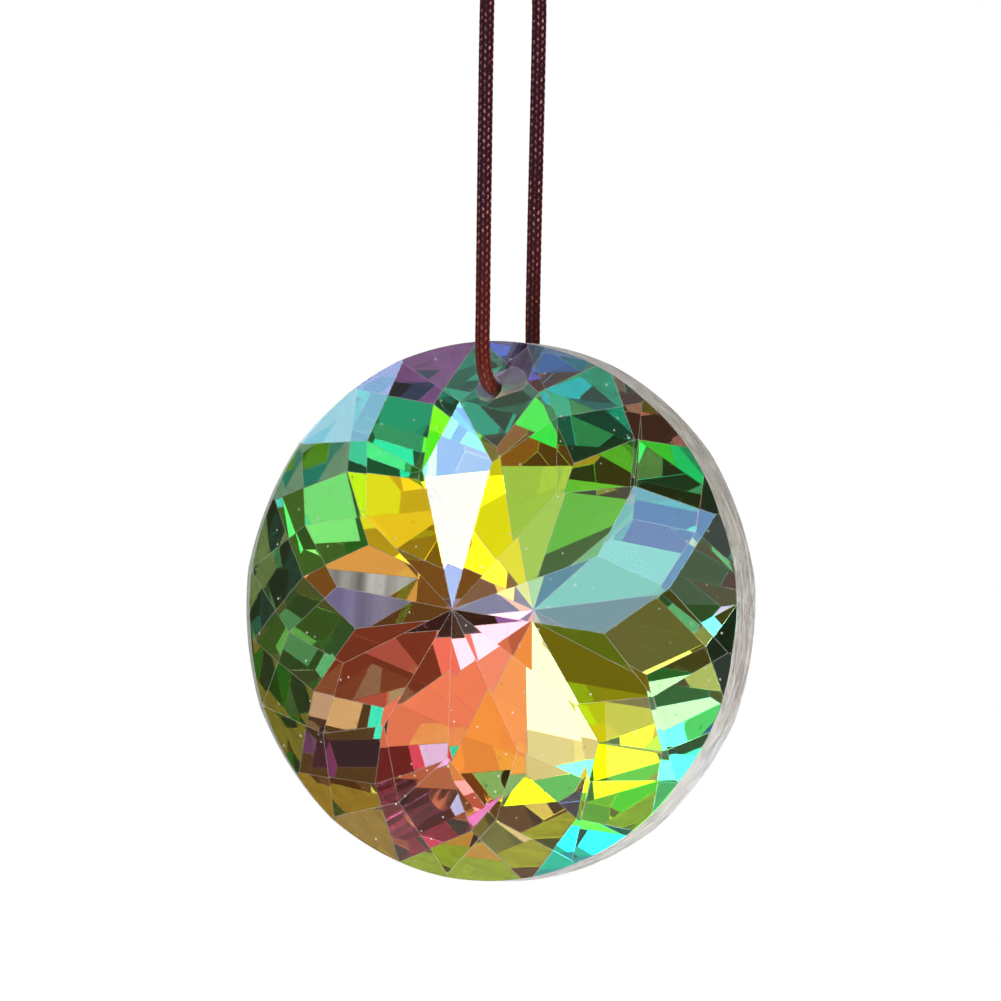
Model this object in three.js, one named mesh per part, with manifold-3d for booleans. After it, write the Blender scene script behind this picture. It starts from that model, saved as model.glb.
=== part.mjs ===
// A faceted crystal suncatcher: a thick glass disc with a twelve-petal sunflower cut on both faces,
// hanging on a thin cord that runs through a hole near its top and is knotted above it.
//
// Millimetres, +Z up. The disc's axis lies along Y and its front face looks towards -Y.
// The origin is the hang point: the underside of the cord loop, just below the knot, where a hook bears.

import * as THREE from 'three';
import { mergeVertices } from 'three/addons/utils/BufferGeometryUtils.js';
import Module from 'manifold-3d';

const wasm = await Module();
wasm.setup();

// Disc
const DISC_DIAMETER = 45;
const DISC_THICKNESS = 18.4; // from the front apex to the back apex
const DISC_DROP = 57; // from the hang point down to the disc's centre
const DISC_SHIFT = -1.4; // the disc's centre hangs a little to the left of the hang point
const RIM_SEGMENTS = 180;

// Sunflower cut, the same on both faces
const PETAL_COUNT = 12;
const PETAL_SLOPE_DEG = 16; // how steeply a petal falls away from the apex
const PETAL_SIDE_RADIUS = 12.4; // where two neighbouring petals part
const PETAL_TIP_RADIUS = 17.5;
const RIM_CORNER_RADIUS = 22.2; // where a diamond runs out between two rim facets
const CUTTER_RADIUS = 26; // the cut pattern runs on past the disc's edge to here
const FRONT_TURN_DEG = 5.5; // angle of a front petal, from +X towards +Z
const BACK_TURN_DEG = FRONT_TURN_DEG + 180 / PETAL_COUNT; // back petals sit between the front ones

// Hole for the cord
const HOLE_RADIUS = 1.1;
const HOLE_SHIFT = 0.8; // from the disc's centre towards +X
const HOLE_HEIGHT = 18.5; // above the disc's centre
const HOLE_SEGMENTS = 40;

// Cord and knot
const CORD_DIAMETER = 1.25;
const CORD_SIDES = 8;
const CORD_STEPS = 78;
const KNOT_BASE = 1.55; // height of the knot's underside, clear of the two strands below it
const KNOT_HEIGHT = 4.4;
const KNOT_RADIUS = 2.1;
const KNOT_END_RADIUS = 1.3;
const TAIL_LENGTH = 6;
const TAIL_SPREAD_DEG = 14;
const TAIL_OFFSET = 0.7; // from the knot's middle to a tail's middle, at the knot

// The cord's middle line: from the knot down in front of the disc, through the hole and up behind it.
const CORD_ROUTE = [
  [0, -0.72, 1.2],
  [0, -0.86, 0.45],
  [0, -1.5, -0.25],
  [0, -2.65, -0.85],
  [0, -3.85, -1.85],
  [-0.02, -4.75, -3.4],
  [-0.05, -5.15, -5.6],
  [-0.14, -5.22, -10],
  [-0.3, -5.14, -18],
  [-0.46, -5.04, -26],
  [-0.56, -4.98, -32],
  [-0.6, -4.95, -35.6],
  [-0.6, -4.5, -37.25],
  [-0.6, -3.35, -38.32],
  [-0.6, -1.8, -38.68],
  [-0.6, 0, -38.8],
  [-0.6, 1.8, -38.68],
  [-0.6, 3.35, -38.32],
  [-0.6, 4.5, -37.25],
  [-0.6, 4.95, -35.6],
  [-0.56, 4.98, -32],
  [-0.46, 5.04, -26],
  [-0.3, 5.14, -18],
  [-0.14, 5.22, -10],
  [-0.05, 5.15, -5.6],
  [-0.02, 4.75, -3.4],
  [0, 3.85, -1.85],
  [0, 2.65, -0.85],
  [0, 1.5, -0.25],
  [0, 0.86, 0.45],
  [0, 0.72, 1.2],
];

// Finishes
const coatedCrystal = new THREE.MeshStandardMaterial({
  name: 'coated_crystal', color: 0x7fae6a, roughness: 0.03, metalness: 0.1,
});
const satinCord = new THREE.MeshStandardMaterial({
  name: 'satin_cord', color: 0x4a1613, roughness: 0.45, metalness: 0,
});
const satinKnot = satinCord.clone();

const radians = THREE.MathUtils.degToRad;

/** A point at a given radius and angle in the disc's plane, at a height along its axis. */
function polar(radius, angle, along) {
  return [radius * Math.cos(angle), along, radius * Math.sin(angle)];
}

/** A solid for cutting and joining, from any closed geometry. */
function solidOf(geometry) {
  const bare = geometry.clone();
  bare.deleteAttribute('normal');
  bare.deleteAttribute('uv');
  const merged = mergeVertices(bare, 1e-4);
  return new wasm.Manifold(new wasm.Mesh({
    numProp: 3,
    vertProperties: new Float32Array(merged.attributes.position.array),
    triVerts: new Uint32Array(merged.index.array),
  }));
}

/** The geometry of a solid. */
function geometryOf(solid) {
  const mesh = solid.getMesh();
  const geometry = new THREE.BufferGeometry();
  geometry.setAttribute('position', new THREE.BufferAttribute(mesh.vertProperties, 3));
  geometry.setIndex(new THREE.BufferAttribute(mesh.triVerts, 1));
  const faceted = geometry.toNonIndexed();
  faceted.computeVertexNormals();
  return faceted;
}

/** Heights of the cut's rings above the disc's middle plane: each facet stays flat. */
function cutHeights() {
  const halfStep = Math.cos(Math.PI / PETAL_COUNT);
  const petalSlope = Math.tan(radians(PETAL_SLOPE_DEG));
  const apex = DISC_THICKNESS / 2;
  const side = apex - petalSlope * PETAL_SIDE_RADIUS * halfStep;
  const tip = apex - petalSlope * PETAL_TIP_RADIUS;
  const diamondSlope = (side - tip) / (PETAL_TIP_RADIUS * halfStep - PETAL_SIDE_RADIUS);
  const corner = side - diamondSlope * (RIM_CORNER_RADIUS - PETAL_SIDE_RADIUS);
  const rimSlope = (tip - corner) / (RIM_CORNER_RADIUS * halfStep - PETAL_TIP_RADIUS);
  const outer = corner - rimSlope * halfStep * (CUTTER_RADIUS - RIM_CORNER_RADIUS);
  return { apex, side, tip, corner, outer };
}

/**
 * The space below one face's facets: petals round the apex, diamonds between the petals, and rim facets
 * outside the petals' tips, closed by a straight wall and a flat floor beyond the disc's other face.
 * facing is -1 for the front face and 1 for the back face.
 */
function sunflowerCut(facing, turnDeg) {
  const heights = cutHeights();
  const floor = -DISC_THICKNESS;
  const points = [[0, facing * heights.apex, 0], [0, facing * floor, 0]];
  const rings = { side: [], tip: [], corner: [], outer: [], base: [] };
  for (let petal = 0; petal < PETAL_COUNT; petal += 1) {
    const tipAngle = radians(turnDeg + (360 / PETAL_COUNT) * petal);
    const sideAngle = tipAngle + Math.PI / PETAL_COUNT;
    const place = (ring, radius, angle, height) => {
      rings[ring].push(points.length);
      points.push(polar(radius, angle, facing * height));
    };
    place('tip', PETAL_TIP_RADIUS, tipAngle, heights.tip);
    place('side', PETAL_SIDE_RADIUS, sideAngle, heights.side);
    place('corner', RIM_CORNER_RADIUS, sideAngle, heights.corner);
    place('outer', CUTTER_RADIUS, sideAngle, heights.outer);
    place('base', CUTTER_RADIUS, sideAngle, floor);
  }
  const faces = [];
  for (let petal = 0; petal < PETAL_COUNT; petal += 1) {
    const before = (petal + PETAL_COUNT - 1) % PETAL_COUNT;
    const { side, tip, corner, outer, base } = rings;
    // petal
    faces.push([0, side[before], tip[petal]], [0, tip[petal], side[petal]]);
    // diamond
    const next = (petal + 1) % PETAL_COUNT;
    faces.push([side[petal], tip[petal], corner[petal]], [side[petal], corner[petal], tip[next]]);
    // rim facet, run on to the cutter's edge
    faces.push([tip[petal], corner[before], corner[petal]]);
    faces.push([corner[before], outer[before], outer[petal]], [corner[before], outer[petal], corner[petal]]);
    // wall and floor
    faces.push([outer[before], base[before], base[petal]], [outer[before], base[petal], outer[petal]]);
    faces.push([1, base[petal], base[before]]);
  }
  const indices = faces.flatMap(([a, b, c]) => (facing < 0 ? [a, b, c] : [a, c, b]));
  const geometry = new THREE.BufferGeometry();
  geometry.setAttribute('position', new THREE.Float32BufferAttribute(points.flat(), 3));
  geometry.setIndex(indices);
  return solidOf(geometry);
}

/** The disc: a round blank cut by the front and back facets and drilled for the cord. */
function crystalDisc() {
  const blank = new THREE.CylinderGeometry(
    DISC_DIAMETER / 2, DISC_DIAMETER / 2, DISC_THICKNESS + 2, RIM_SEGMENTS,
  );
  const drill = new THREE.CylinderGeometry(HOLE_RADIUS, HOLE_RADIUS, DISC_THICKNESS, HOLE_SEGMENTS);
  drill.translate(HOLE_SHIFT, 0, HOLE_HEIGHT);
  const cut = solidOf(blank)
    .intersect(sunflowerCut(-1, FRONT_TURN_DEG))
    .intersect(sunflowerCut(1, BACK_TURN_DEG))
    .subtract(solidOf(drill));
  const disc = new THREE.Mesh(geometryOf(cut), coatedCrystal);
  disc.name = 'crystal_disc';
  disc.position.set(DISC_SHIFT, 0, -DISC_DROP);
  return disc;
}

/** A regular polygon with its corners on a circle. */
function roundSection(radius, sides) {
  const corners = [];
  for (let corner = 0; corner < sides; corner += 1) {
    const angle = (2 * Math.PI * (corner + 0.5)) / sides;
    corners.push(new THREE.Vector2(radius * Math.cos(angle), radius * Math.sin(angle)));
  }
  return new THREE.Shape(corners);
}

/** A plain tube of the cord's thickness along a curve. */
function cordTube(curve, steps) {
  return new THREE.ExtrudeGeometry(roundSection(CORD_DIAMETER / 2, CORD_SIDES), {
    steps, extrudePath: curve, bevelEnabled: false,
  });
}

/** The cord: one strand in front of the disc, through the hole, and one strand behind it. */
function hangingCord() {
  const route = new THREE.CatmullRomCurve3(
    CORD_ROUTE.map(([x, y, z]) => new THREE.Vector3(x, y, z)), false, 'centripetal',
  );
  const cord = new THREE.Mesh(cordTube(route, CORD_STEPS), satinCord);
  cord.name = 'hanging_cord';
  return cord;
}

/** The knot: a rounded barrel with the cord's two short tails standing out of its top. */
function cordKnot() {
  const profile = [new THREE.Vector2(0, 0)];
  const bands = 10;
  for (let band = 0; band <= bands; band += 1) {
    const swell = Math.sin((Math.PI * band) / bands);
    const radius = KNOT_END_RADIUS + (KNOT_RADIUS - KNOT_END_RADIUS) * swell;
    profile.push(new THREE.Vector2(radius, (KNOT_HEIGHT * band) / bands));
  }
  profile.push(new THREE.Vector2(0, KNOT_HEIGHT));
  const barrel = new THREE.LatheGeometry(profile, 20);
  barrel.rotateX(Math.PI / 2);
  barrel.translate(0, 0, KNOT_BASE);
  let solid = solidOf(barrel);
  const tailRoot = KNOT_BASE + KNOT_HEIGHT - 1;
  for (const sideways of [-1, 1]) {
    const lean = radians(TAIL_SPREAD_DEG);
    const foot = new THREE.Vector3(0, sideways * TAIL_OFFSET, tailRoot);
    const end = foot.clone().add(
      new THREE.Vector3(0, sideways * Math.sin(lean), Math.cos(lean)).multiplyScalar(TAIL_LENGTH),
    );
    solid = solid.add(solidOf(cordTube(new THREE.LineCurve3(foot, end), 1)));
  }
  const knot = new THREE.Mesh(geometryOf(solid), satinKnot);
  knot.name = 'cord_knot';
  return knot;
}

const suncatcher = new THREE.Group();
suncatcher.name = 'crystal_suncatcher';
suncatcher.add(crystalDisc(), hangingCord(), cordKnot());

export default suncatcher;
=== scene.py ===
"""A faceted crystal suncatcher on a satin cord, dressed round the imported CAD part.

Metres, +Z up. The disc's axis lies along Y and its front face looks towards -Y. The origin is the hang
point: the underside of the cord's loop, just below the knot.
"""

import math

import bmesh
import bpy
import numpy as np
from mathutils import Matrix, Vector


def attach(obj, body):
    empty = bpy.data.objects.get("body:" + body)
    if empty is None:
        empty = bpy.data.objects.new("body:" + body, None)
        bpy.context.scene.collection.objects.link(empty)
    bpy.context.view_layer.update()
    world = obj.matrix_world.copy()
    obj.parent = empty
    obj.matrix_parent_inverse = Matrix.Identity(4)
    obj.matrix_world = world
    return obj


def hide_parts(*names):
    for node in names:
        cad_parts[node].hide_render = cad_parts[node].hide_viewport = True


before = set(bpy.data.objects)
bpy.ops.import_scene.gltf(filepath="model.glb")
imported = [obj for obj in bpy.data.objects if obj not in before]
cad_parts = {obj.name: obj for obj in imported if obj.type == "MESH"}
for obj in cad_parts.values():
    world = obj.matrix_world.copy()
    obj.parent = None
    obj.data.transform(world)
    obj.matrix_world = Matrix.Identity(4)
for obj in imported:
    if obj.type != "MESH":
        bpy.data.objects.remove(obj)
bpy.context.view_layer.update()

MM = 0.001

# ---------------------------------------------------------------- named sizes, as in the CAD source
DISC_CENTRE = np.array([-1.4, 0.0, -57.0]) * MM
DISC_RADIUS = 22.5 * MM
PETAL_COUNT = 12
PETAL_STEP_DEG = 360 / PETAL_COUNT
PETAL_SLOPE = math.tan(math.radians(16))
DIAMOND_SLOPE = 0.3515
RIM_SLOPE = 0.472
FRONT_TURN_DEG = 5.5
BACK_TURN_DEG = 20.5      # the back petals sit between the front ones
EDGE_WIDTH = 0.028 * MM   # of the polished chamfer along every facet edge

CORD_DIAMETER = 1.25 * MM

# The cord's middle line in millimetres, from the knot down in front of the disc to the middle of the hole. Behind
# the disc it climbs back to the knot as the mirror image of this.
CORD_FRONT = [
    (0, -0.72, 1.2), (0, -0.86, 0.45), (0, -1.5, -0.25), (0, -2.65, -0.85), (0, -3.85, -1.85),
    (-0.02, -4.75, -3.4), (-0.05, -5.15, -5.6), (-0.14, -5.22, -10), (-0.3, -5.14, -18),
    (-0.46, -5.04, -26), (-0.56, -4.98, -32), (-0.6, -4.95, -35.6), (-0.6, -4.5, -37.25),
    (-0.6, -3.35, -38.32), (-0.6, -1.8, -38.68), (-0.6, 0, -38.8),
]
CORD_ROUTE = CORD_FRONT + [(x, -y, z) for x, y, z in CORD_FRONT[-2::-1]]


# ---------------------------------------------------------------- shader maths

class Flow:
    """One socket of a material's nodes. Arithmetic on it adds the Math node that does the sum."""

    def __init__(self, tree, socket=None):
        self.tree, self.socket = tree, socket

    def node(self, kind, settings=(), sockets=(), out=0):
        """Adds a node: its settings first, then the values or links of its sockets. Gives the chosen output, and
        nothing for the node that ends a material or a world."""
        made = self.tree.nodes.new("ShaderNode" + kind)
        for name, value in dict(settings).items():
            setattr(made, name, value)
        for key, value in dict(sockets).items():
            if isinstance(value, Flow):
                self.tree.links.new(value.socket, made.inputs[key])
            else:
                made.inputs[key].default_value = value
        return Flow(self.tree, made.outputs[out]) if made.outputs else None

    def math(self, operation, *values):
        return self.node("Math", {"operation": operation}, enumerate(values))

    def __add__(self, other): return self.math("ADD", self, other)
    def __radd__(self, other): return self.math("ADD", other, self)
    def __sub__(self, other): return self.math("SUBTRACT", self, other)
    def __rsub__(self, other): return self.math("SUBTRACT", other, self)
    def __mul__(self, other): return self.math("MULTIPLY", self, other)
    def __rmul__(self, other): return self.math("MULTIPLY", other, self)

    def band(self, low, high):
        """0 below low, 1 above high, and a smooth step between; low above high turns it round."""
        return self.node("MapRange", {"interpolation_type": "SMOOTHSTEP"},
                         {"Value": self, "From Min": low, "From Max": high})

    def blend(self, first, second):
        """The colour mixed from first to second by this value."""
        return self.node("Mix", {"data_type": "RGBA"}, {0: self, 6: first, 7: second}, out=2)


def empty_flow(owner):
    """Gives a material or a world an empty node tree, and returns the Flow that adds its nodes."""
    owner.use_nodes = True
    owner.node_tree.nodes.clear()
    return Flow(owner.node_tree)


def finish_of(name):
    """A new material and the Flow that adds its nodes."""
    material = bpy.data.materials.new(name)
    return material, empty_flow(material)


def show(flow, shader):
    """Ends a material: its surface shows this shader."""
    flow.node("OutputMaterial", (), {"Surface": shader})


def colour(red, green, blue):
    """A colour given as it looks, from 0 to 255, as the linear light that a shader takes."""
    seen = np.array([red, green, blue]) / 255
    light = np.where(seen <= 0.04045, seen / 12.92, ((seen + 0.055) / 1.055) ** 2.4)
    return (*map(float, light), 1.0)


# ---------------------------------------------------------------- camera

CAMERA_AZIMUTH = math.radians(24.75)   # from straight in front of the disc towards its right
CAMERA_ELEVATION = math.radians(-1.15)
CAMERA_DISTANCE = 1.047
CAMERA_LENS, CAMERA_SENSOR = 451.4, 36   # millimetres
AIM_RIGHT, AIM_UP = 0.14 * MM, 9.24 * MM   # from the disc's centre to the middle of the view


def make_camera():
    """The camera stands low in front of the disc, off to its right, and looks level across it."""
    back = Vector((math.sin(CAMERA_AZIMUTH) * math.cos(CAMERA_ELEVATION),
                   -math.cos(CAMERA_AZIMUTH) * math.cos(CAMERA_ELEVATION),
                   math.sin(CAMERA_ELEVATION)))
    right = Vector((math.cos(CAMERA_AZIMUTH), math.sin(CAMERA_AZIMUTH), 0))
    up = right.cross(-back)
    centre = Vector(DISC_CENTRE)
    lens = bpy.data.cameras.new("camera")
    lens.sensor_width, lens.lens = CAMERA_SENSOR, CAMERA_LENS
    lens.clip_start, lens.clip_end = 0.01, 50
    camera = bpy.data.objects.new("camera", lens)
    camera.location = centre + back * CAMERA_DISTANCE
    aim = centre + right * AIM_RIGHT + up * AIM_UP
    camera.rotation_mode = "QUATERNION"
    camera.rotation_quaternion = (aim - camera.location).to_track_quat("-Z", "Y")
    bpy.context.scene.collection.objects.link(camera)
    bpy.context.scene.camera = camera


make_camera()


# ---------------------------------------------------------------- meshes

def placed(name, mesh):
    """A mesh as an object of the scene, at the origin."""
    piece = bpy.data.objects.new(name, mesh)
    bpy.context.scene.collection.objects.link(piece)
    return piece


def mesh_piece(name, points, faces, material, smooth=True):
    """An object from an array of points and a list of faces."""
    mesh = bpy.data.meshes.new(name)
    mesh.from_pydata(np.asarray(points, float).tolist(), [], faces)
    mesh.polygons.foreach_set("use_smooth", np.full(len(mesh.polygons), smooth))
    mesh.materials.append(material)
    mesh.update()
    return placed(name, mesh)


SPAN_STEPS = 60   # points worked out on each span before they are spaced evenly


def smooth_route(points, step):
    """Evenly spaced points along a centripetal Catmull-Rom curve through the given points: on each span the four
    nearest points are blended by their knots, which are spaced by the square root of the points' distances."""
    points = np.asarray(points, float)
    points = np.vstack([2 * points[0] - points[1], points, 2 * points[-1] - points[-2]])
    p0, p1, p2, p3 = points[:-3], points[1:-2], points[2:-1], points[3:]
    gap = lambda a, b: np.sqrt(np.linalg.norm(b - a, axis=1))[:, None, None]
    t1 = gap(p0, p1)
    t2 = t1 + gap(p1, p2)
    t3 = t2 + gap(p2, p3)
    t = t1 + (t2 - t1) * np.linspace(0, 1, SPAN_STEPS, endpoint=False)[None, :, None]
    p0, p1, p2, p3 = (p[:, None, :] for p in (p0, p1, p2, p3))
    a1 = (t1 - t) / t1 * p0 + t / t1 * p1
    a2 = (t2 - t) / (t2 - t1) * p1 + (t - t1) / (t2 - t1) * p2
    a3 = (t3 - t) / (t3 - t2) * p2 + (t - t2) / (t3 - t2) * p3
    b1 = (t2 - t) / t2 * a1 + t / t2 * a2
    b2 = (t3 - t) / (t3 - t1) * a2 + (t - t1) / (t3 - t1) * a3
    dense = ((t2 - t) / (t2 - t1) * b1 + (t - t1) / (t2 - t1) * b2).reshape(-1, 3)
    dense = np.vstack([dense, points[-2]])
    along = np.concatenate([[0], np.cumsum(np.linalg.norm(np.diff(dense, axis=0), axis=1))])
    even = np.linspace(0, along[-1], max(2, int(round(along[-1] / step)) + 1))
    return np.stack([np.interp(even, along, dense[:, axis]) for axis in range(3)], 1), even


def carried_frame(route, first_side):
    """The side and lift directions carried along a route without twist: at each step the last side direction loses
    its part along the new tangent, and lift is square to both."""
    tangent = np.gradient(route, axis=0)
    tangent /= np.linalg.norm(tangent, axis=1)[:, None]
    side = np.empty_like(route)
    current = np.asarray(first_side, float)
    for place, forward in enumerate(tangent):
        current = current - forward * (current @ forward)
        current /= np.linalg.norm(current)
        side[place] = current
    return side, np.cross(tangent, side)


STITCH_COLUMNS = 10
STITCH_LENGTH = 0.62 * MM
STITCH_RELIEF = 0.055     # of the cord's radius
STITCH_SWAY = 0.06        # how far a column swings to each side over a row, in columns
STITCH_FILL = 0.86        # the share of a row that a stitch's rise and fall take up
TIP_LENGTH = 0.22         # of the cord's diameter
TIP_CLOSING = 0.995       # how far the tip closes, as the square that the radius loses
AROUND = 60               # points round the cord
ALONG_STEP = 0.1 * MM     # from one ring of points to the next


def stitched_tube(points, diameter):
    """A knitted satin tube on a smooth route through the points: its skin's points, quads, end caps and stitches,
    then the route and its length. A point lies on a circle round the route. Its radius grows from the grooves
    between the stitches to the middle of each stitch, a cell that is one column wide and one row long, set half a
    row up in every other column and swaying a little. The two ends are drawn in to a rounded tip."""
    route, along = smooth_route(points, ALONG_STEP)
    side, lift = carried_frame(route, (1, 0, 0))
    turn = np.linspace(0, 2 * np.pi, AROUND, endpoint=False)[None, :]
    row = (along / STITCH_LENGTH)[:, None]
    column = turn / (2 * np.pi) * STITCH_COLUMNS + STITCH_SWAY * np.sin(2 * np.pi * row)
    number = np.round(column)
    across = column - number
    climb = row + 0.5 * (number % 2)
    climb = climb - np.round(climb)
    stitch = np.cos(np.pi * across) * np.cos(np.pi * climb * STITCH_FILL)
    radius = diameter / 2 * (1 - STITCH_RELIEF + STITCH_RELIEF * stitch)
    end = np.minimum(along, along[-1] - along) / (diameter * TIP_LENGTH)
    radius = radius * np.sqrt(1 - (1 - np.clip(end, 0, 1))[:, None] ** 2 * TIP_CLOSING)
    ring = side[:, None, :] * np.cos(turn)[..., None] + lift[:, None, :] * np.sin(turn)[..., None]
    skin = (route[:, None, :] + ring * radius[..., None]).reshape(-1, 3)
    count = len(route)
    i = np.arange(count - 1)[:, None] * AROUND
    j = np.arange(AROUND)[None, :]
    k = (j + 1) % AROUND
    quads = np.stack([i + j, i + k, i + AROUND + k, i + AROUND + j], -1).reshape(-1, 4)
    caps = [np.arange(AROUND)[::-1], np.arange(AROUND) + (count - 1) * AROUND]
    return skin, quads, caps, stitch.ravel(), route, float(along[-1])


def stitched_piece(name, tubes, material):
    """One piece from several stitched tubes, with the stitches' own pattern kept on its points."""
    skins, quads, caps, stitches, *_ = zip(*tubes)
    faces, base = [], 0
    for skin, sides, ends in zip(skins, quads, caps):
        faces += (sides + base).tolist() + [(end + base).tolist() for end in ends]
        base += len(skin)
    piece = mesh_piece(name, np.vstack(skins), faces, material)
    kept = piece.data.attributes.new("stitch", "FLOAT", "POINT")
    kept.data.foreach_set("value", np.concatenate(stitches).astype(np.float32))
    return piece


# ---------------------------------------------------------------- satin cord

WINE, WORN_WINE = (58, 12, 22), (94, 26, 16)
# Painted highlights: the pale colours painted along the stitches' crowns, at the top and at the hole.
WINE_PAINTED_HIGHLIGHT, WORN_PAINTED_HIGHLIGHT = (226, 160, 160), (176, 84, 60)
# Painted shade: the near-black colour painted into the grooves between the stitches.
GROOVE_PAINTED_SHADE = (22, 8, 12)
UNWORN_ABOVE, WORN_BELOW = -20 * MM, -38 * MM   # heights between which the dye warms


def satin_finish():
    """Dark maroon satin: a highlight is painted along the crown of each stitch, painted shade makes the grooves
    between stitches nearly black, and the dye runs from wine at the top to a warmer brown where the cord is worn at
    the hole; the painted highlight warms with it."""
    material, flow = finish_of("satin_cord")
    stitch = flow.node("Attribute", {"attribute_name": "stitch"}, out="Fac")
    place = flow.node("TexCoord", out="Object")
    height = flow.node("SeparateXYZ", (), {0: place}, out="Z")
    fleck = flow.node("TexNoise", (), {"Vector": place, "Scale": 2600.0, "Detail": 3.0, "Roughness": 0.6})
    worn = height.band(UNWORN_ABOVE, WORN_BELOW)
    dye = worn.blend(colour(*WINE), colour(*WORN_WINE))
    # The crown of each stitch, broken into dashes by a fine noise, gets a painted highlight and is a little
    # glossier.
    crown = stitch.band(0.55, 0.98) * fleck.band(0.38, 0.72)
    light = worn.blend(colour(*WINE_PAINTED_HIGHLIGHT), colour(*WORN_PAINTED_HIGHLIGHT))
    shade = crown.blend(dye, light)
    # Painted shade makes the grooves between the stitches nearly black.
    shade = stitch.band(0.45, -0.1).blend(shade, colour(*GROOVE_PAINTED_SHADE))
    show(flow, flow.node("BsdfPrincipled", (), {
        "Base Color": shade, "Roughness": 0.5 - crown * 0.15, "Specular IOR Level": 0.2}))
    return material


satin_cord = satin_finish()


def make_cord():
    """The hanging cord, its route and its length."""
    tube = stitched_tube(np.array(CORD_ROUTE) * MM, CORD_DIAMETER)
    return stitched_piece("satin_hanging_cord", [tube], satin_cord), *tube[-2:]


# The knot, in millimetres: the coil that each strand winds round the others, and its tail.
WIND_RADIUS, WIND_TOP = 1.42, 5.05
WIND_STEPS, WIND_STEP_DEG, WIND_DROP = 13, 30, 0.225
TAIL_FOOT, TAIL_OUT, TAIL_ASIDE = 4.9, 0.72, 0.15
TAIL_LEAN = math.radians(14)
TAIL_HEIGHTS = (5.6, 6.6, 7.8, 9.0, 10.1)


def knot_path(turned):
    """One strand of the knot: it comes up through the middle, leans out, winds down round the other strands for a
    little over one turn, tucks in below, and leaves through the top as a short tail. turned is 0 or half a turn."""
    def at(radius, degrees, height):
        angle = math.radians(degrees) + turned
        return (radius * math.cos(angle), radius * math.sin(angle), height)
    rise = [at(0.80, -90, 0.62), at(0.72, -90, 1.2), at(0.62, -90, 2.2), at(0.5, -90, 3.6), at(0.8, -92, 4.9)]
    wind = [at(WIND_RADIUS, -90 + WIND_STEP_DEG * step, WIND_TOP - WIND_DROP * step)
            for step in range(1, WIND_STEPS + 1)]
    tuck = [at(0.9, 325, 2.35), at(0.35, 330, 3.2), at(0.35, 60, 4.4)]
    which_side = math.sin(math.pi / 2 + turned)
    tail = [(TAIL_ASIDE * math.cos(turned),
             math.copysign(TAIL_OUT + (height - TAIL_FOOT) * math.tan(TAIL_LEAN), which_side), height)
            for height in TAIL_HEIGHTS]
    return np.array(rise + wind + tuck + tail) * MM


def make_knot():
    """The knot that joins the two strands, with its two tails."""
    tubes = [stitched_tube(knot_path(turned), CORD_DIAMETER) for turned in (0.0, math.pi)]
    return stitched_piece("satin_cord_knot", tubes, satin_cord)


cord, cord_route, cord_length = make_cord()
knot = make_knot()
for piece, node in ((cord, "hanging_cord"), (knot, "cord_knot")):
    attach(piece, "root")
    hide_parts(node)
cord_route[::4].tolist() + [cord_route[-1].tolist()]


# ---------------------------------------------------------------- crystal

# What each facet of the coated back sends back, named as the eye sees it.
COATING = {
    "amber": (246, 208, 24), "apple": (136, 238, 108), "aqua": (60, 220, 224), "champagne": (226, 255, 170),
    "chartreuse": (208, 232, 40), "coral": (240, 130, 90), "curacao": (140, 224, 228), "emerald": (40, 214, 130),
    "fern": (80, 228, 84), "frost": (232, 234, 230), "gold": (216, 172, 56), "jade": (122, 200, 136),
    "lagoon": (24, 196, 152), "lavender": (184, 150, 255), "leaf": (184, 245, 30), "lemon": (228, 228, 40),
    "lime": (224, 232, 10), "mauve": (140, 96, 156), "meadow": (100, 202, 46), "mint": (98, 214, 166),
    "moss": (146, 178, 104), "ochre": (240, 168, 76), "olive": (182, 172, 60), "orange": (252, 148, 64),
    "orchid": (222, 140, 255), "pear": (164, 206, 70), "petrol": (16, 110, 150), "pistachio": (160, 242, 164),
    "plum": (150, 96, 160), "pool": (140, 188, 150), "sage": (165, 196, 120), "salmon": (250, 128, 88),
    "seafoam": (60, 222, 200), "sky": (120, 170, 220), "slate": (78, 140, 122), "spring": (110, 222, 60),
    "straw": (242, 226, 140), "umber": (150, 138, 116), "vermilion": (244, 110, 88), "violet": (150, 96, 255),
    "wine": (190, 130, 126), "yellow": (230, 228, 8),
}
# Round the back from +X towards +Z: petals from 20.5 degrees, diamonds from 5.5 and rim facets from 20.5. The
# first list of each pair holds for light that meets the facet squarely, the second for light that skims it.
BACK_FACETS = {
    "petal": (["jade", "meadow", "pear", "yellow", "amber", "ochre",
               "vermilion", "salmon", "orange", "straw", "lime", "leaf"],
              ["pistachio", "champagne", "orchid", "frost", "frost", "frost",
               "frost", "frost", "seafoam", "pistachio", "frost", "frost"]),
    "diamond": (["fern", "emerald", "lagoon", "slate", "mint", "apple",
                 "sage", "wine", "coral", "lemon", "chartreuse", "spring"],
                ["curacao", "emerald", "lavender", "orchid", "violet", "sky",
                 "frost", "mint", "seafoam", "seafoam", "leaf", "curacao"]),
    "rim": (["jade", "sage", "mauve", "plum", "pool", "moss",
             "olive", "gold", "chartreuse", "straw", "mint", "jade"],
            ["petrol", "umber", "sky", "violet", "frost", "frost",
             "frost", "sky", "mint", "aqua", "curacao", "petrol"]),
}
DIAMOND_LEAD = 1   # the diamonds' lists start half a petal before the petals' own
CLEAR = (255, 255, 255)
CRYSTAL_IOR = 1.52
COAT_MIRROR = 0.97   # the share of light that the coating mirrors
COAT_LAYERS = ("coating", "skimming_coating")   # the colours on the face corners

# The coating's hue by slant, the square of the sine of the light's angle inside the crystal.
SKIMS_FROM, SKIMS_FULLY = 0.36, 0.42
WINE_STAR, ROSE_STAR, BLUE_FRINGE = (0.13, 0.026, 0.042, 1), (0.55, 0.34, 0.48, 1), (0.09, 0.24, 0.62, 1)


SPECK_CELLS, WEAR_PATCHES, SCRATCH_CRESTS = 900.0, 150.0, 7000.0   # in a metre
MARK_STRENGTH = 0.7


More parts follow.
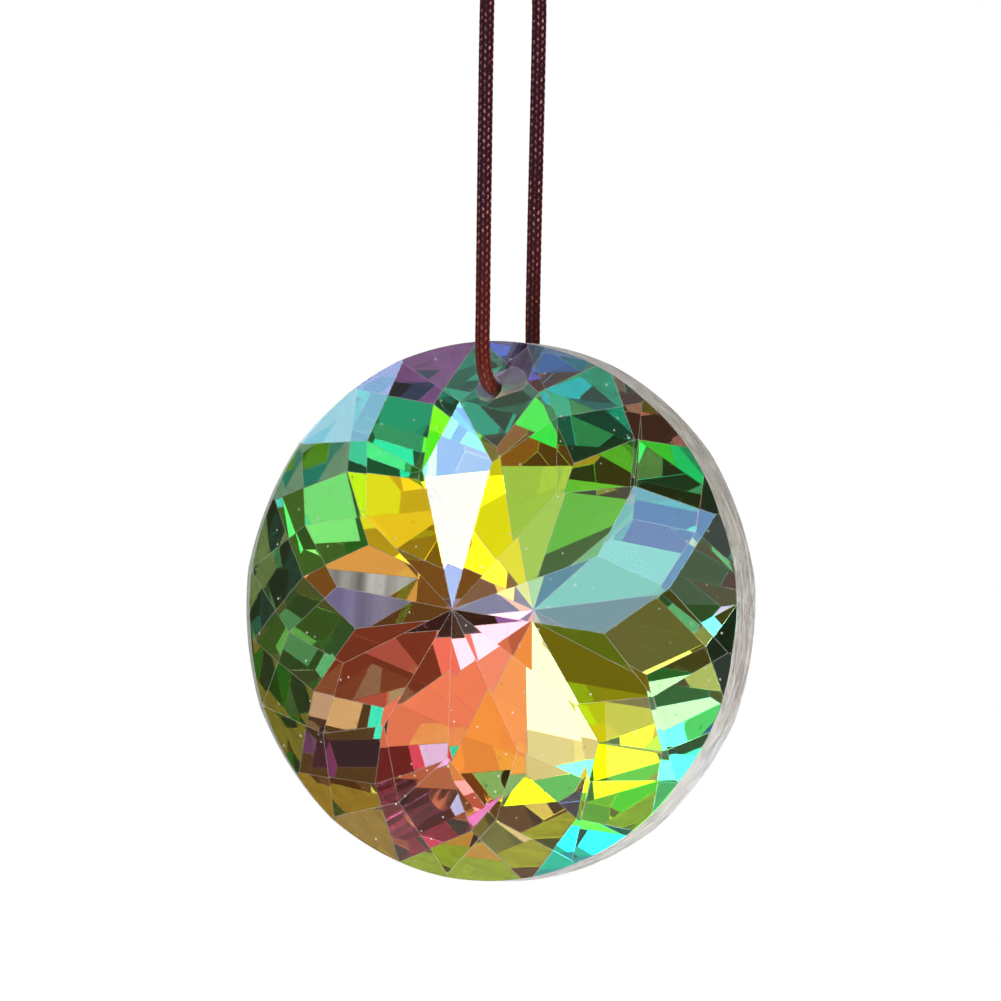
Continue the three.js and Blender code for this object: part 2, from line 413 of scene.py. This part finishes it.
def clear_finish():
    """Polished clear crystal with specks of dust and a few hairline scratches: the front facets. A speck is the
    heart of a Voronoi cell, kept only where the cell's own random number is high. A scratch is a crest of noise
    drawn out to a fine line, kept only where a broader noise is high."""
    material, flow = finish_of("clear_crystal")
    place = flow.node("TexCoord", out="Object")
    cells = {"Vector": place, "Scale": SPECK_CELLS}
    heart = flow.node("TexVoronoi", (), cells, out="Distance")
    lot = flow.node("SeparateColor", (), {0: flow.node("TexVoronoi", (), cells, out="Color")}, out=0)
    speck = heart.band(0.11, 0.07) * lot.band(0.42, 0.46)
    drawn_out = flow.node("Mapping", (), {"Vector": place, "Rotation": (0.0, 0.45, 0.0), "Scale": (1.0, 1.0, 0.03)})
    crest = flow.node("TexNoise", (), {"Vector": drawn_out, "Scale": SCRATCH_CRESTS, "Detail": 1.0})
    worn = flow.node("TexNoise", (), {"Vector": place, "Scale": WEAR_PATCHES, "Detail": 2.0})
    mark = speck + crest.band(0.72, 0.78) * worn.band(0.60, 0.68) * 0.5
    glass = flow.node("BsdfPrincipled", (), {
        "Base Color": (1, 1, 1, 1), "Roughness": 0.0, "IOR": CRYSTAL_IOR, "Transmission Weight": 1.0})
    dust = flow.node("BsdfPrincipled", (), {"Base Color": (0.9, 0.9, 0.86, 1), "Roughness": 0.8})
    show(flow, flow.node("MixShader", (), {0: mark * MARK_STRENGTH, 1: glass, 2: dust}))
    return material


def coated_finish():
    """Crystal with a vapour coating: most of the light is mirrored in the facet's own colour, the rest passes.
    The coating's colour shifts with the angle of the light inside the crystal, as thin films do. The square of
    that angle's sine is 1 - (1 - facing)^2, less by the square of the refractive index for light from outside."""
    material, flow = finish_of("coated_crystal")
    square, skimming = (flow.node("Attribute", {"attribute_name": name}, out="Color") for name in COAT_LAYERS)
    level = 1.0 - flow.node("LayerWeight", (), {"Blend": 0.5}, out="Facing")
    inside = flow.node("NewGeometry", out="Backfacing")
    slant = (1.0 - level * level) * (inside * (1.0 - CRYSTAL_IOR ** -2) + CRYSTAL_IOR ** -2)
    tint = slant.band(SKIMS_FROM, SKIMS_FULLY).blend(square, skimming)
    for share, shade in ((slant.band(0.0138, 0.0095), WINE_STAR), (slant.band(0.0060, 0.0030), ROSE_STAR),
                         (slant.band(0.50, 0.53) * slant.band(0.58, 0.55) * 0.55, BLUE_FRINGE)):
        tint = share.blend(tint, shade)
    show(flow, flow.node("BsdfPrincipled", (), {
        "Base Color": tint, "Metallic": COAT_MIRROR, "Roughness": 0.0, "IOR": CRYSTAL_IOR,
        "Transmission Weight": 1.0}))
    return material


GROUND_WHITE = (252, 247, 243)
GROUND_THROUGH = 0.3   # the share of light that goes through ground crystal and spreads


def ground_finish(name, roughness, clear, worn):
    """Ground crystal that was left unpolished, with fine streaks along the way the wheel ran. clear is its
    see-through share, and worn is the colour of its duller streaks."""
    material, flow = finish_of(name)
    place = flow.node("TexCoord", out="Object")
    drawn_out = flow.node("Mapping", (), {"Vector": place, "Scale": (0.07, 1.0, 0.07)})
    streak = flow.node("TexNoise", (), {"Vector": drawn_out, "Scale": 5200.0, "Detail": 4.0, "Roughness": 0.6})
    patch = flow.node("TexNoise", (), {
        "Vector": place, "Scale": 420.0, "Detail": 3.0, "Roughness": 0.7, "Distortion": 1.2})
    fresh = streak.band(0.42, 0.58) * 0.6 + patch.band(0.42, 0.6) * 0.4
    shader = flow.node("BsdfPrincipled", (), {
        "Base Color": fresh.blend(colour(*worn), colour(*GROUND_WHITE)), "Roughness": roughness + streak * 0.15,
        "IOR": CRYSTAL_IOR, "Specular IOR Level": 0.25, "Transmission Weight": clear})
    through = flow.node("BsdfTranslucent", (), {"Color": (0.95, 0.95, 0.95, 1)})
    show(flow, flow.node("MixShader", (), {0: GROUND_THROUGH, 1: shader, 2: through}))
    return material


def edge_finish():
    """The fine chamfer that the polisher leaves along the facets' edges: bright and slightly soft."""
    material, flow = finish_of("polished_edge")
    show(flow, flow.node("BsdfPrincipled", (), {
        "Base Color": (0.98, 0.97, 0.96, 1), "Roughness": 0.12, "IOR": CRYSTAL_IOR, "Transmission Weight": 0.7}))
    return material


SIDE_LEAN = 0.5   # a face whose normal leans less than this towards +Y or -Y belongs to the rim or the hole
RIM_FROM = 0.97 * DISC_RADIUS   # such a face is the rim's if it is farther than this from the axis


def facet_of(normal):
    """What a normal belongs to: the side it is on, its kind of facet, and its place round that side, from its slope
    and direction."""
    if abs(normal.y) < SIDE_LEAN:
        return "edge", None, 0
    slope = math.hypot(normal.x, normal.z) / abs(normal.y)
    side, turn = ("front", FRONT_TURN_DEG) if normal.y < 0 else ("back", BACK_TURN_DEG)
    kind = min((("petal", PETAL_SLOPE), ("diamond", DIAMOND_SLOPE), ("rim", RIM_SLOPE)),
               key=lambda known: abs(known[1] - slope))[0]
    angle = math.degrees(math.atan2(normal.z, normal.x)) - turn - (PETAL_STEP_DEG / 2 if kind == "diamond" else 0)
    return side, kind, round(angle / PETAL_STEP_DEG) % PETAL_COUNT


FLAT_WITHIN = math.radians(0.4)   # triangles that turn less than this from each other are one facet
EDGE_FROM = math.radians(3.5)     # facets that turn more than this from each other meet in an edge
FRONT, BACK, RIM, HOLE, EDGE = range(5)   # the crystal's material slots


def make_crystal():
    """The crystal disc: a merged copy of the CAD disc whose flat facets are joined into one face each and whose
    edges get a fine chamfer. Each back facet keeps its coating's two colours on its face corners."""
    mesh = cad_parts["crystal_disc"].data.copy()
    mesh.name = "faceted_crystal"
    mesh.materials.clear()
    form = bmesh.new()
    form.from_mesh(mesh)
    bmesh.ops.remove_doubles(form, verts=form.verts, dist=1e-7)
    bmesh.ops.dissolve_limit(form, angle_limit=FLAT_WITHIN, verts=form.verts, edges=form.edges)
    layers = [form.loops.layers.float_color.new(name) for name in COAT_LAYERS]
    for face in form.faces:
        side, kind, place = facet_of(face.normal)
        face.smooth = side == "edge"
        seen = (CLEAR, CLEAR)
        if side == "edge":
            middle = face.calc_center_median()
            from_axis = math.hypot(middle.x - DISC_CENTRE[0], middle.z - DISC_CENTRE[2])
            face.material_index = RIM if from_axis > RIM_FROM else HOLE
        elif side == "front":
            face.material_index = FRONT
        else:
            face.material_index = BACK
            place += DIAMOND_LEAD if kind == "diamond" else 0
            seen = [COATING[names[place % PETAL_COUNT]] for names in BACK_FACETS[kind]]
        for corner in face.loops:
            for layer, shade in zip(layers, seen):
                corner[layer] = colour(*shade)
    for edge in form.edges:
        edge.smooth = edge.calc_face_angle(0) < EDGE_FROM
    form.to_mesh(mesh)
    form.free()
    for material in (clear_finish(), coated_finish(),
                     ground_finish("ground_rim", roughness=0.42, clear=0.15, worn=(172, 156, 156)),
                     ground_finish("drilled_hole", roughness=0.25, clear=0.85, worn=(222, 220, 222)),
                     edge_finish()):
        mesh.materials.append(material)
    piece = placed("faceted_crystal", mesh)
    chamfer = piece.modifiers.new("facet_edges", "BEVEL")
    chamfer.width, chamfer.segments = EDGE_WIDTH, 1
    chamfer.limit_method, chamfer.angle_limit = "ANGLE", EDGE_FROM
    chamfer.use_clamp_overlap = True
    chamfer.material = EDGE
    return piece


crystal = make_crystal()
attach(crystal, "root")
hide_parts("crystal_disc")


# ---------------------------------------------------------------- stage and light

def direction(azimuth, elevation):
    """A unit vector: azimuth turns from +Y towards +X, elevation rises from the floor, in degrees."""
    a, e = math.radians(azimuth), math.radians(elevation)
    return np.array([math.sin(a) * math.cos(e), math.cos(a) * math.cos(e), math.sin(e)])


SOFTBOX_DISTANCE, FILL_DISTANCE, RIM_LIGHT_DISTANCE = 2.4, 2.6, 0.5
STREAK_LEVELS = (0.25, 1.6)   # the dimmest and brightest streak of a softbox's cloth


def light_panel(name, azimuth, elevation, width, height, tint, strength, streaks=0.0, distance=SOFTBOX_DISTANCE):
    """A flat softbox that faces the crystal, given by its direction and by the angles that it fills, in degrees.
    streaks, if given, is how many upright streaks its cloth shows in a metre. It shows only in the crystal."""
    towards = direction(azimuth, elevation)
    across = np.array([towards[1], -towards[0], 0]) / math.hypot(towards[0], towards[1])
    up = np.cross(across, towards)
    half_width, half_height = (distance * math.tan(math.radians(size / 2)) for size in (width, height))
    middle = DISC_CENTRE + towards * distance
    corners = [middle + across * x * half_width + up * z * half_height
               for x, z in ((-1, -1), (1, -1), (1, 1), (-1, 1))]
    material, flow = finish_of(name)
    glow = (*tint, 1)
    if streaks:
        place = flow.node("Mapping", (), {"Vector": flow.node("TexCoord", out="Object"), "Scale": (1.0, 1.0, 0.05)})
        cloth = flow.node("TexNoise", (), {"Vector": place, "Scale": streaks, "Detail": 3.0, "Roughness": 0.7})
        dim, bright = ((*(level * part for part in tint), 1) for level in STREAK_LEVELS)
        glow = cloth.band(0.3, 0.7).blend(dim, bright)
    show(flow, flow.node("Emission", (), {"Color": glow, "Strength": strength}))
    panel = mesh_piece(name, corners, [[0, 1, 2, 3]], material, smooth=False)
    panel.visible_camera = panel.visible_diffuse = False
    return panel


DAYLIGHT = (0.28, 0.53, 1.0)
SKYLIGHT = (0.36, 0.66, 1.0)
DEEP_SKY = (0.09, 0.20, 1.0)
PLAIN_WHITE = (1.0, 1.0, 1.0)
# Each light: its name, direction (azimuth and elevation), width and height in degrees, tint, strength and, for one,
# the streaks of its cloth.
for light in (
        ("front_softbox", 167, 13.6, 16, 10.2, DAYLIGHT, 11.3),
        ("front_softbox_foot", 173, 4, 9, 8, DAYLIGHT, 8.2),
        ("left_softbox", -148, 29, 8, 8, DAYLIGHT, 21),
        ("far_left_softbox", -115, 31, 8, 8, SKYLIGHT, 11),
        ("upper_left_softbox", -123, 43, 10, 12, PLAIN_WHITE, 3),
        ("low_lamp", 156, -33, 9, 8, PLAIN_WHITE, 3.2),
        ("lower_lamp", 175, -54, 12, 12, PLAIN_WHITE, 4)):
    light_panel(*light)
for fill in (
        ("front_fill", 166, 14, 30, 16, PLAIN_WHITE, 1.08),
        ("low_strip", 146.3, -23, 7.6, 10, PLAIN_WHITE, 1.7),
        ("low_strip_middle", 154, -23, 7.6, 10, PLAIN_WHITE, 0.65),
        ("low_strip_end", 169, -25.5, 10, 11, PLAIN_WHITE, 1.9),
        ("low_card", 146, -12, 6, 9, PLAIN_WHITE, 1.8),
        ("lens_glare", 171, -4, 7, 6, PLAIN_WHITE, 1.8),
        ("side_card", 140, -2, 5, 6, PLAIN_WHITE, 0.8),
        ("side_card_top", 142, 6.5, 6, 3.5, PLAIN_WHITE, 1.8),
        ("low_fill_left", -171, -21, 10, 10, PLAIN_WHITE, 1.2),
        ("side_fill_right", 128, -4, 7, 15, DEEP_SKY, 4.8, 45.0),
        ("side_fill_right_foot", 128, -16, 7, 8, PLAIN_WHITE, 1.0),
        ("high_fill_right", 134, 20, 12, 9, PLAIN_WHITE, 0.5),
        ("side_fill_left", -98, -11, 14, 14, PLAIN_WHITE, 0.9)):
    light_panel(*fill, distance=FILL_DISTANCE)
for lamp in (   # these two light only the ground rim and the cord
        ("rim_light", 112, -40, 40, 30, PLAIN_WHITE, 11),
        ("rim_light_left", -100, -25, 40, 40, PLAIN_WHITE, 5)):
    rim_light = light_panel(*lamp, distance=RIM_LIGHT_DISTANCE)
    rim_light.visible_diffuse = True
    rim_light.visible_glossy = rim_light.visible_transmission = False


def make_floor():
    """A wide pale floor far below the hanging crystal. It doesn't show in the crystal."""
    material, flow = finish_of("pale_floor")
    show(flow, flow.node("BsdfPrincipled", (), {"Base Color": (0.86, 0.86, 0.85, 1), "Roughness": 0.7}))
    reach, level = 6.0, -0.42
    corners = [(-reach, -reach, level), (reach, -reach, level), (reach, reach, level), (-reach, reach, level)]
    floor = mesh_piece("floor", corners, [[0, 1, 2, 3]], material, smooth=False)
    floor.visible_glossy = floor.visible_transmission = floor.visible_diffuse = False


make_floor()


ROOM_LIGHT = (0.21, 0.165, 0.10, 1)   # the dim, warm studio at eye height
TENT_LIGHT = (1, 1, 1, 1)             # the light tent above and below
TENT_FROM = (0.50, 0.60)              # the sines of the elevations where the tent starts and is full


def make_world():
    """A light tent: bright above and below, dim at eye height where the room is. The camera sees plain white."""
    world = bpy.data.worlds.new("studio")
    bpy.context.scene.world = world
    flow = empty_flow(world)
    rise = flow.node("SeparateXYZ", (), {0: flow.node("TexCoord", out="Generated")}, out="Z")
    tent = rise.math("ABSOLUTE", rise).band(*TENT_FROM)
    plain = flow.node("LightPath", out="Is Camera Ray")
    light = plain.blend(tent.blend(ROOM_LIGHT, TENT_LIGHT), TENT_LIGHT)
    flow.node("OutputWorld", (), {"Surface": flow.node("Background", (), {"Color": light, "Strength": 1.0})})


make_world()

scene = bpy.context.scene
scene.view_settings.view_transform = "Standard"
scene.cycles.max_bounces = 16
scene.cycles.glossy_bounces = 12
scene.cycles.transmission_bounces = 16
scene.cycles.blur_glossy = 0.0
scene.cycles.denoising_input_passes = "RGB"
